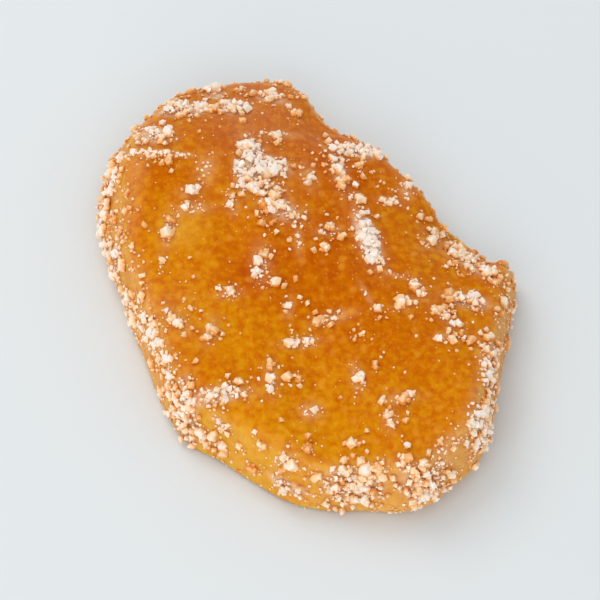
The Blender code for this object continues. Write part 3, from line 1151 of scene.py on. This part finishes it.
class Mottle(SharedEffect):
    """Soft uneven cloud at two scales, as a value about 0.5."""

    name = "mottle"
    # How many times finer its fine cloud is
    fine_ratio = 4.3
    inputs = (("Scale", 400.0), ("Fine share", 0.35))
    outputs = (("Value", "NodeSocketFloat"),)

    def wire(self, wires: Wires, given: Sequence, result: Sequence) -> None:
        """A broad cloud with a finer one in it.

        Args:
            wires: The group's wires.
            given: The group's inputs.
            result: The group's outputs, to be fed.
        """
        place = wires.place()
        broad = wires.noise(place, given["Scale"])
        fine = wires.noise(place, wires.maths("MULTIPLY", given["Scale"], self.fine_ratio))
        mixed = wires.add("ShaderNodeMix", {0: given["Fine share"], 2: broad, 3: fine})
        wires.feed(result["Value"], mixed.outputs[0])


def new_material(name: str) -> tuple[bpy.types.Material, Wires, bpy.types.Node]:
    """A material with its shader, and the wires to feed it.

    Args:
        name: Its name.

    Returns:
        The material, its wires and its shader.
    """
    made = bpy.data.materials.new(name)
    made.use_nodes = True
    return made, Wires(made.node_tree), made.node_tree.nodes["Principled BSDF"]


@dataclass(frozen=True)
class FleshFinish:
    """Candied flesh: clear amber, redder where its tone is deeper, golden at the rim, with streaks along
    its fibres, and frosted where fine sugar sticks."""

    # The flesh's colour by its tone: pale, gold, amber and deep
    stops: tuple[tuple[float, tuple], ...] = (
        (0.0, paint(229, 165, 32)),
        (0.3, paint(219, 140, 4)),
        (0.6, paint(207, 110, 1)),
        (1.0, paint(190, 83, 1)),
    )
    mottle_scale: float = 420.0
    mottle_fine_share: float = 0.55
    mottle_sway: float = 0.16
    grain_scale: float = 1700.0
    grain_detail: float = 2.0
    grain_sway: float = 0.2
    streak_scale: float = 1500.0
    streak_detail: float = 4.0
    streak_stretch: float = 7.0
    streak_sway: float = 0.05
    frost: tuple = paint(247, 197, 143)
    cloud_scale: float = 2600.0
    cloud_range: tuple[float, float] = (0.35, 0.65)
    least_cloud: float = 0.45
    crust: tuple = paint(252, 224, 194)
    speck: tuple = paint(235, 160, 50)
    # Each layer of specks: how many to a metre, the share of them that show, and how strongly
    specks: tuple[tuple[float, float, float], ...] = ((3600.0, 0.3, 0.3), (1300.0, 0.26, 0.4))
    roughness: tuple[float, float] = (0.24, 0.4)
    frost_roughness: float = 0.3
    streak_height: float = 0.6
    frost_height: float = 0.7
    bump_strength: float = 0.45
    bump_depth: float = 0.00012
    scatter_weight: float = 0.5
    scatter_depth: float = 0.0014
    scatter_radius: tuple[float, float, float] = (1.0, 0.4, 0.1)
    specular: float = 0.15
    reflection: tuple = paint(240, 160, 12)
    ior: float = 1.48

    def material(self, form: SliceForm) -> bpy.types.Material:
        """Builds the material.

        Args:
            form: The slice's form, for the way of its fibres.

        Returns:
            The material.
        """
        made, wires, shader = new_material("candied_flesh")
        streak = self.streaks(wires, form)
        grain = wires.noise(wires.place(), self.grain_scale, self.grain_detail)
        mottle = Mottle().put(wires, scale=self.mottle_scale, fine_share=self.mottle_fine_share).outputs[0]
        cloud = wires.noise(wires.place(), self.cloud_scale)
        cloud = wires.remap(cloud, self.cloud_range, (self.least_cloud, 1.0))
        frost = wires.maths("MULTIPLY", wires.attribute("frost"), cloud)
        tone = wires.attribute("tone")
        sways = ((mottle, self.mottle_sway), (grain, self.grain_sway), (streak, self.streak_sway))
        for layer, most in sways:
            tone = wires.maths("ADD", tone, wires.sway(layer, most))
        flesh = wires.blend(self.speckled(wires), wires.ramp(tone, *self.stops), self.speck)
        frosted = wires.blend(frost, flesh, self.frost)
        crusted = wires.blend(wires.attribute("crust"), frosted, self.crust)
        rough = wires.remap(mottle, NOISE_RANGE, self.roughness)
        rough = wires.maths("MULTIPLY_ADD", frost, self.frost_roughness, rough)
        height = wires.maths("MULTIPLY", frost, self.frost_height)
        height = wires.maths("MULTIPLY_ADD", streak, self.streak_height, height)
        wires.dress(shader, crusted, rough, height, self.bump_strength, self.bump_depth)
        plain = {
            "Subsurface Weight": self.scatter_weight,
            "Subsurface Scale": self.scatter_depth,
            "Subsurface Radius": self.scatter_radius,
            "Specular IOR Level": self.specular,
            "Specular Tint": self.reflection,
            "IOR": self.ior,
        }
        set_plain(shader, plain)
        return made

    def speckled(self, wires: Wires) -> bpy.types.NodeSocket:
        """Every layer of specks as one mask.

        Args:
            wires: The material's wires.

        Returns:
            The mask.
        """
        mask = 0.0
        for scale, cover, strength in self.specks:
            layer = Speckle().put(wires, scale=scale, cover=cover).outputs[0]
            mask = wires.maths("MAXIMUM", mask, wires.maths("MULTIPLY", layer, strength))
        return mask

    def streaks(self, wires: Wires, form: SliceForm) -> bpy.types.NodeSocket:
        """Streaks along the fibres, from 0 to 1.

        Args:
            wires: The material's wires.
            form: The slice's form, for the way of its fibres.

        Returns:
            The streaks.
        """
        turn = {"Vector": wires.place(), "Rotation": (0.0, 0.0, math.radians(-form.fibre_way))}
        turned = wires.add("ShaderNodeMapping", turn).outputs[0]
        squeeze = {"Vector": turned, "Scale": (1.0 / self.streak_stretch, 1.0, 1.0)}
        squeezed = wires.add("ShaderNodeMapping", squeeze).outputs[0]
        return wires.noise(squeezed, self.streak_scale, self.streak_detail)


@dataclass(frozen=True)
class SugarFinish:
    """Sugar grains: white in heaps, and peach to amber where they sit in the flesh: the flesh's colour
    painted in as its glow through the clear sugar.
    """

    name: str
    # The sugar's colour by the flesh's painted glow through it: clean, tinged, peach and amber
    stops: tuple[tuple[float, tuple], ...] = (
        (0.05, paint(254, 239, 226)),
        (0.38, paint(252, 213, 160)),
        (0.72, paint(243, 168, 88)),
        (1.0, paint(228, 134, 30)),
    )
    mottle_scale: float = 1600.0
    mottle_fine_share: float = 0.5
    glow_sway: float = 0.2
    rough_range: tuple[float, float] = (0.35, 0.65)
    roughness: tuple[float, float] = (0.12, 0.35)
    bump_strength: float = 0.15
    bump_depth: float = 0.0001
    ior: float = 1.54

    def material(self) -> bpy.types.Material:
        """Builds the material.

        Returns:
            The material.
        """
        made, wires, shader = new_material(self.name)
        mottle = Mottle().put(wires, scale=self.mottle_scale, fine_share=self.mottle_fine_share).outputs[0]
        # The flesh's glow through the sugar, painted into its colour, swayed a little by the mottle
        flesh_glow = wires.maths("ADD", wires.attribute("flesh_glow"), wires.sway(mottle, self.glow_sway))
        rough = wires.remap(mottle, self.rough_range, self.roughness)
        colour = wires.ramp(flesh_glow, *self.stops)
        wires.dress(shader, colour, rough, mottle, self.bump_strength, self.bump_depth)
        set_plain(shader, {"IOR": self.ior})
        return made


@dataclass
class Flesh:
    """The slice's flesh as a fine mesh. Lengths are millimetres."""

    form: SliceForm
    sugar: SugarMap
    finish: FleshFinish = field(default_factory=FleshFinish)
    detail: int = 7
    rest_gap: float = 0.18
    # Each fine wave of the cut surface: its length and height, longer along the fibres
    fine_waves: tuple[tuple[float, float], ...] = ((1.9, 0.08), (0.9, 0.055), (0.5, 0.03))
    fine_stretch: float = 2.2
    # The ledge behind the upper left corner, and how high it stands
    ledge: Mound = Mound(-10.8, 10.9, 4.8, 0.7, 178.0, 0.3)
    base_tone: float = 0.5
    wall_tone: float = -0.22
    # Where the flesh is deeper, above 0, or more golden, below it: each zone's middle, radius and change
    tones: tuple[tuple[float, float, float, float], ...] = (
        (-3.0, 16.0, 5.0, 0.26), (-5.5, 13.0, 2.0, 0.2), (-11.0, 9.6, 1.6, 0.12),
        (3.6, 11.5, 4.4, 0.26), (2.6, 2.6, 4.6, 0.28), (-3.4, 0.6, 2.2, 0.36),
        (8.6, 4.0, 3.6, -0.04), (6.0, -3.5, 4.0, 0.12), (-11.0, 8.0, 3.4, 0.04),
        (-9.0, 4.4, 1.8, -0.36), (-9.6, -1.5, 4.4, -0.08), (-4.4, -4.0, 3.2, -0.08),
        (-5.5, -13.0, 4.0, -0.22), (2.6, -14.6, 5.0, -0.16), (11.0, -9.0, 3.2, -0.02),
    )
    # How frosted the rim, the clumps, the trails and the open top are
    rim_frost: float = 0.66
    heap_frost: float = 0.75
    line_frost: float = 0.5
    open_frost: float = 0.008
    frost_patchiness: float = 0.35
    # How deep in a clump its fused sugar starts and is whole, and how white it is where the sugar is least
    # white
    crust_depths: tuple[float, float] = (0.2, 0.8)
    least_crust: float = 0.3

    def build(self) -> bpy.types.Object:
        """Makes the flesh, with its tone and frost, and dresses it.

        Returns:
            The flesh.
        """
        bm = bmesh.new()
        bmesh.ops.create_icosphere(bm, subdivisions=self.detail, radius=1.0)
        ways = np.array([v.co for v in bm.verts]) * (1.0, 1.0, self.form.flatness)
        ways /= np.linalg.norm(ways, axis=1, keepdims=True)
        places, normals = self.form.surface(np.zeros_like(ways), ways)
        places += normals * (self.fine_relief(places) + self.ledge.nearness(places))[:, None]
        places[:, 2] = np.maximum(places[:, 2], self.rest_gap)
        for vert, place in zip(bm.verts, places):
            vert.co = Vector(place) * MM
        bmesh.ops.recalc_face_normals(bm, faces=bm.faces)
        mesh = take_mesh(bm, "ginger_flesh")
        mesh.shade_smooth()
        for name, shares in (("tone", self.tone), ("frost", self.frost), ("crust", self.crust)):
            store(mesh, name, shares(places, normals))
        mesh.materials.append(self.finish.material(self.form))
        return add_object("ginger_flesh", mesh)

    def fine_relief(self, places: np.ndarray) -> np.ndarray:
        """The height of the fine waves."""
        squeezed = self.form.stretched(places, self.fine_stretch)
        return sum(height * noise_at(squeezed / length) for length, height in self.fine_waves)

    def tone(self, places: np.ndarray, normals: np.ndarray) -> np.ndarray:
        """How deep the flesh's colour is at each place: 0 is palest, and 1 is deepest."""
        zones = sum(Zone(*zone).share(places) for zone in self.tones)
        return self.base_tone + zones + self.wall_tone * self.sugar.wall(normals)

    def frost(self, places: np.ndarray, normals: np.ndarray) -> np.ndarray:
        """How much sugar too fine to be grains whitens each place: 0 is bare, and 1 is covered.

        Args:
            places: The places, one to a row.
            normals: The normals there.

        Returns:
            The frost at each.
        """
        heaps = self.heap_frost * self.sugar.heap(places)
        heaps = np.maximum(heaps, self.line_frost * self.sugar.line(places)) * (normals[:, 2] > 0)
        patches = np.clip(self.sugar.patches(places), 0.0, 1.0)
        rim = self.rim_frost * self.sugar.rim(places, normals, grit=False)
        rim = rim * (1.0 - self.frost_patchiness * (1.0 - patches))
        thin = self.open_frost * patches * self.sugar.open_share(places)
        return np.maximum(rim, heaps) + thin + sum(zone.share(places) for zone in self.sugar.haze)

    def crust(self, places: np.ndarray, normals: np.ndarray) -> np.ndarray:
        """How white the fused sugar under the clumps makes each place: 1 is wholly white.

        Args:
            places: The places, one to a row.
            normals: The normals there.

        Returns:
            The whiteness at each.
        """
        deep = smooth_step(*self.crust_depths, self.sugar.heap(places)) * (normals[:, 2] > 0)
        white = (1.0 - self.least_crust) * self.sugar.whiteness(places)
        return deep * (self.least_crust + white)


class Ground:
    """A mesh as triangles to throw grains on, in millimetres."""

    def __init__(self, mesh: bpy.types.Mesh) -> None:
        """Reads the mesh.

        Args:
            mesh: The mesh, of triangles, in metres.
        """
        places = np.zeros(len(mesh.vertices) * 3, np.float32)
        mesh.vertices.foreach_get("co", places)
        corners = np.zeros(len(mesh.polygons) * 3, np.int32)
        mesh.polygons.foreach_get("vertices", corners)
        self.corners = places.reshape(-1, 3)[corners.reshape(-1, 3)].astype(float) / MM
        edges = self.corners[:, 1:] - self.corners[:, :1]
        crosses = np.cross(edges[:, 0], edges[:, 1])
        doubled = np.linalg.norm(crosses, axis=1)
        self.areas = doubled / 2
        self.normals = crosses / doubled[:, None]
        self.middles = self.corners.mean(axis=1)

    def throw(
        self, count: int, chances: np.ndarray, luck: np.random.Generator
    ) -> tuple[np.ndarray, np.ndarray]:
        """Random places.

        Args:
            count: How many.
            chances: How likely a grain is to stick to each triangle, for its area.
            luck: The generator to draw from.

        Returns:
            The places, and the normals there.
        """
        weights = self.areas * chances
        picks = luck.choice(len(weights), count, p=weights / weights.sum())
        shares = luck.dirichlet((1.0, 1.0, 1.0), count)
        return (self.corners[picks] * shares[:, :, None]).sum(axis=1), self.normals[picks]


@dataclass
class SugarCoat:
    """The sugar on the slice, one piece for each kind of grain."""

    form: SliceForm
    sugar: SugarMap
    ground: Ground
    box: tuple[np.ndarray, np.ndarray]
    company_reach: float = 0.75
    # How much less of the flesh's painted glow a grain has at its top than at its foot: the top is a
    #     painted highlight, and the foot has the flesh's colour painted in as if seen through the grain
    glow_fall: float = 1.4
    # The flesh's painted glow through a grain: its mean, the more on the open top, the less for whiteness,
    # and its spread
    base_glow: float = 0.81
    lone_glow: float = 0.13
    white_share: float = 0.64
    glow_spread: float = 0.2
    crystal_seed: int = 20
    # For a grain of unit length: how high its middle is when it stands, and how far it reaches
    half_height: float = 0.35
    reach: float = 0.75
    # How far down the surface faces on the underside
    underside_faces_up: float = -0.9
    box_slack: float = 1e-6

    @cached_property
    def large(self) -> Stances:
        """Where the large crystals sit, as in the solid."""
        return CrystalSpread(self.form).stances()

    @cached_property
    def company(self) -> np.ndarray:
        """How near a large crystal each triangle of the ground is, from 0 to 1.

        Returns:
            The nearness of each triangle.
        """
        tree = KDTree(len(self.large.centres))
        for index, centre in enumerate(self.large.centres):
            tree.insert(centre, index)
        tree.balance()
        away = np.array([tree.find(middle)[2] for middle in self.ground.middles])
        return np.exp(-((away / self.company_reach) ** 2))

    def crystals(self) -> bpy.types.Object:
        """The large crystals.

        Returns:
            The piece.
        """
        flesh_glows = self.flesh_glows(self.large.centres, np.random.default_rng(self.crystal_seed))
        glowing = replace(self.large, flesh_glows=flesh_glows)
        return self.piece(SugarKind.CRYSTALS, glowing, CRYSTAL_SHAPES, SugarFinish("sugar_clear"))

    def flesh_glows(self, places: np.ndarray, luck: np.random.Generator) -> np.ndarray:
        """How much of the flesh's painted glow shows through the grains at these places.

        Args:
            places: The places, one to a row.
            luck: The generator to draw from.

        Returns:
            The painted glow of each grain.
        """
        spread = luck.normal(0.0, self.glow_spread, len(places))
        lone = self.lone_glow * self.sugar.lone(places)
        return self.base_glow + lone - self.white_share * self.sugar.whiteness(places) + spread

    def thrown(self, grains: GrainKind, finish: SugarFinish) -> bpy.types.Object:
        """A kind of grain that is thrown on by chance.

        Args:
            grains: The kind.
            finish: Its finish.

        Returns:
            The piece.
        """
        luck = np.random.default_rng(grains.seed)
        places, normals = self.ground.throw(grains.count, self.chances(grains), luck)
        low, high = grains.sizes
        sizes = low + (high - low) * luck.random(grains.count) ** grains.small_bias
        heap = self.sugar.heap(places) * (normals[:, 2] > 0)
        lifts = luck.random(grains.count) * heap * grains.heap_height
        stands = sizes * (self.half_height - grains.sunk_share) + lifts
        centres = places + normals * stands[:, None]
        centres[:, 2] = np.maximum(centres[:, 2], sizes * self.reach)
        turns = self.random_turns(grains.count, luck)
        stances = Stances(centres, sizes, turns, normals, self.flesh_glows(centres, luck))
        return self.piece(grains.kind, self.in_box(stances), grains.shapes, finish)

    def chances(self, grains: GrainKind) -> np.ndarray:
        """How likely a grain is to stick to each triangle of the ground.

        Args:
            grains: The kind of grain.

        Returns:
            The chance of each triangle, for its area.
        """
        places, normals = self.ground.middles, self.ground.normals
        up = normals[:, 2] > 0
        rim = self.sugar.rim(places, normals, grit=grains.kind is SugarKind.GRIT)
        spread = grains.top_share * up + grains.rim_share * rim
        piled = grains.heap_share * self.sugar.heap(places) ** 2
        piled += grains.line_share * self.sugar.line(places) ** 2
        piled += grains.company_share * self.company
        loose = spread * self.sugar.patches(places) * self.sugar.open_share(places)
        under = normals[:, 2] < self.underside_faces_up
        return np.where(under, grains.under_share, loose + piled * up)

    def random_turns(self, count: int, luck: np.random.Generator) -> np.ndarray:
        """This many random turns, as matrices.

        Args:
            count: How many.
            luck: The generator to draw from.

        Returns:
            The turns.
        """
        quats = luck.normal(size=(count, 4))
        w, x, y, z = (quats / np.linalg.norm(quats, axis=1, keepdims=True)).T
        rows = [
            [1 - 2 * (y * y + z * z), 2 * (x * y - z * w), 2 * (x * z + y * w)],
            [2 * (x * y + z * w), 1 - 2 * (x * x + z * z), 2 * (y * z - x * w)],
            [2 * (x * z - y * w), 2 * (y * z + x * w), 1 - 2 * (x * x + y * y)],
        ]
        return np.moveaxis(np.array(rows), 2, 0)

    def in_box(self, stances: Stances) -> Stances:
        """Only the grains that are wholly inside the solid's box.

        Args:
            stances: Where the grains sit.

        Returns:
            Those that are kept.
        """
        reach = stances.sizes[:, None] * self.reach
        low, high = self.box
        inside = (stances.centres - reach >= low - self.box_slack) & (stances.centres + reach <= high)
        return stances.kept(inside.all(axis=1))

    def piece(
        self,
        kind: SugarKind,
        stances: Stances,
        shapes: Sequence[GrainShape | Twin],
        finish: SugarFinish,
    ) -> bpy.types.Object:
        """Joins a batch of grains into one piece.

        Args:
            kind: The kind, which names the piece.
            stances: Where each grain sits.
            shapes: The grain's forms, taken in turn.
            finish: The finish.

        Returns:
            The piece.
        """
        verts, faces, flesh_glows, count = [], [], [], 0
        for turn, shape in enumerate(shapes):
            some = stances.kept(np.arange(len(stances.sizes)) % len(shapes) == turn)
            points, triangles = shape.triangles()
            placed = np.einsum("nij,vj->nvi", some.turns, points) * some.sizes[:, None, None]
            placed += some.centres[:, None, :]
            climbs = np.einsum("nij,vj,ni->nv", some.turns, points, some.normals)
            starts = count + np.arange(len(some.sizes)) * len(points)
            verts.append(placed.reshape(-1, 3) * MM)
            faces.append((triangles[None] + starts[:, None, None]).reshape(-1, 3))
            # Each grain's painted glow of the flesh through it, falling towards its top as a painted
            # highlight
            flesh_glows.append((some.flesh_glows[:, None] - self.glow_fall * climbs).ravel())
            count += len(verts[-1])
        mesh = bpy.data.meshes.new(kind.value)
        mesh.from_pydata(np.concatenate(verts), [], np.concatenate(faces))
        store(mesh, "flesh_glow", np.concatenate(flesh_glows))
        mesh.materials.append(finish.material())
        return add_object(kind.value, mesh)


@dataclass(frozen=True)
class Lamp:
    """A soft square lamp, in metres and watts, aimed at the slice."""

    name: str
    place: tuple[float, float, float]
    size: float
    power: float
    colour: tuple[float, float, float]

    def hang(self, target: Vector) -> None:
        """Adds the lamp.

        Args:
            target: The place that it lights.
        """
        data = bpy.data.lights.new(self.name, "AREA")
        data.size, data.energy, data.color = self.size, self.power, self.colour
        lamp = add_object(self.name, data)
        lamp.location = self.place
        lamp.rotation_euler = (Vector(self.place) - target).to_track_quat("Z", "Y").to_euler()


@dataclass(frozen=True)
class Studio:
    """A plain pale floor, soft light, and the camera at the photograph's angle. Lengths are metres."""

    target: tuple[float, float, float] = (0.0, 0.0, 0.003)
    climb: float = 56.0
    distance: float = 0.35
    lens: float = 280.0
    clip: tuple[float, float] = (0.01, 10.0)
    floor_reach: float = 1.5
    floor_colour: tuple = paint(226, 231, 233)
    floor_roughness: float = 0.6
    sky_colour: tuple = paint(244, 247, 250)
    sky_strength: float = 0.74
    lamps: tuple[Lamp, ...] = (
        Lamp("key", (-0.13, 0.16, 0.26), 0.2, 0.29, (1.0, 0.98, 0.94)),
        Lamp("fill", (-0.09, -0.305, 0.15), 0.3, 0.47, (1.0, 0.97, 0.9)),
    )

    def set_up(self) -> None:
        """Builds the floor, the light and the camera."""
        target = Vector(self.target)
        self.lay_floor()
        for lamp in self.lamps:
            lamp.hang(target)
        world = bpy.data.worlds.new("studio")
        world.use_nodes = True
        sky = world.node_tree.nodes["Background"]
        set_plain(sky, {"Color": self.sky_colour, "Strength": self.sky_strength})
        bpy.context.scene.world = world
        bpy.context.scene.view_settings.view_transform = "Standard"
        self.aim_camera(target)

    def lay_floor(self) -> None:
        """Lays the floor."""
        bm = bmesh.new()
        bmesh.ops.create_grid(bm, x_segments=1, y_segments=1, size=self.floor_reach)
        mesh = take_mesh(bm, "floor")
        material, _, shader = new_material("pale_floor")
        set_plain(shader, {"Base Color": self.floor_colour, "Roughness": self.floor_roughness})
        mesh.materials.append(material)
        floor = add_object("floor", mesh)

    def aim_camera(self, target: Vector) -> None:
        """Sets the camera in front of the slice, looking down at the photograph's angle.

        Args:
            target: The place that it looks at.
        """
        back = -Vector(heading(90.0, -self.climb))
        data = bpy.data.cameras.new("camera")
        data.lens = self.lens
        data.clip_start, data.clip_end = self.clip
        camera = add_object("camera", data)
        camera.location = target + back * self.distance
        camera.rotation_euler = back.to_track_quat("Z", "Y").to_euler()
        bpy.context.scene.camera = camera


def settle(piece: bpy.types.Object) -> None:
    """Fixes a piece to the slice's body and reports it.

    Args:
        piece: The piece.
    """
    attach(piece, BODY)
    log.info("%s: %d triangles", piece.name, len(piece.data.polygons))


def main() -> None:
    """Builds the flesh, the sugar and the studio."""
    logging.basicConfig(level=logging.INFO)
    form = SliceForm()
    sugar = SugarMap(form)
    flesh = Flesh(form, sugar).build()
    settle(flesh)
    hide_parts(NODE)
    low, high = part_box(NODE)
    box = np.array(low) / MM, np.array(high) / MM
    coat = SugarCoat(form, sugar, Ground(flesh.data), box)
    crystals = coat.crystals()
    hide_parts(NODE)
    settle(crystals)
    settle(coat.thrown(GRIT, SugarFinish("sugar_milky", mottle_scale=2400.0)))
    settle(coat.thrown(DUST, SugarFinish("sugar_frost", mottle_scale=3600.0)))
    Studio().set_up()


if __name__ == "__main__":
    main()
